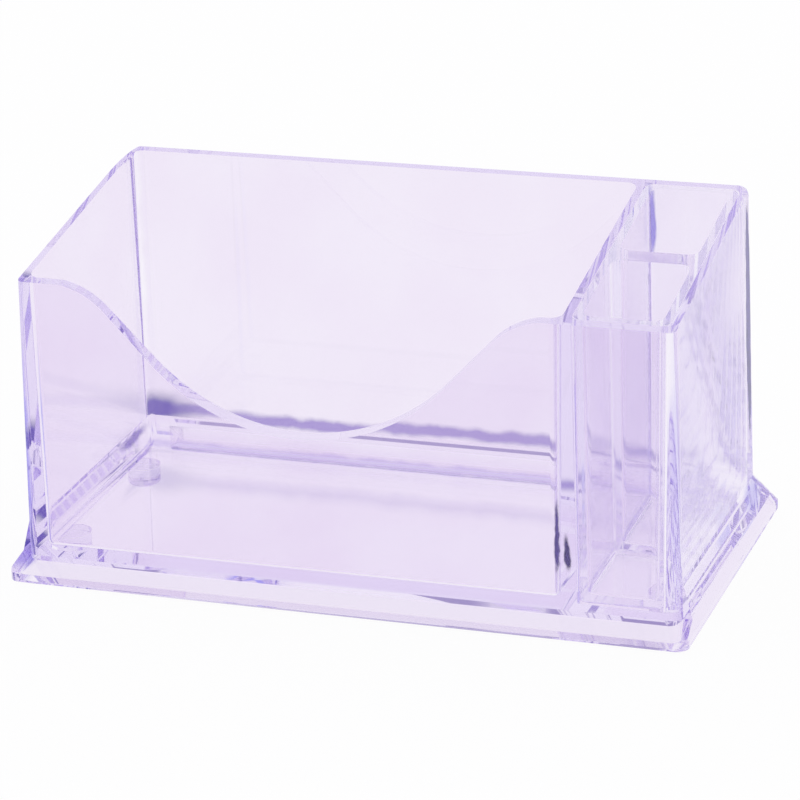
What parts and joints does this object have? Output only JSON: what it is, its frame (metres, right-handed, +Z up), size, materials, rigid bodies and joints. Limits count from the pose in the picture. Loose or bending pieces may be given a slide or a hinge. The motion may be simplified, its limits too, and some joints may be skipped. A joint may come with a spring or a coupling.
{
  "type": "business card holder",
  "caption": "Clear desk stand for business cards with a swooped front, sloping sides, a flared hollow base and a lined pen bay at one end.",
  "frame": {"origin": "centre of the plinth's plan, on the desk under the feet", "axes": "+X to the right along the front, +Y from the front to the back, +Z up"},
  "size_m": [0.122, 0.069, 0.0636],
  "materials": {
    "clear_plastic": "clear, polished, faint lavender tint",
    "cup_plastic": "clear, polished, faint lavender tint",
    "foot_rubber": "clear, soft"
  },
  "bodies": {
    "root": {"holder_body": "clear_plastic", "pen_cup": "cup_plastic", "foot_front_left": "foot_rubber", "foot_front_right": "foot_rubber", "foot_back_left": "foot_rubber", "foot_back_right": "foot_rubber"}
  },
  "joints": []
}
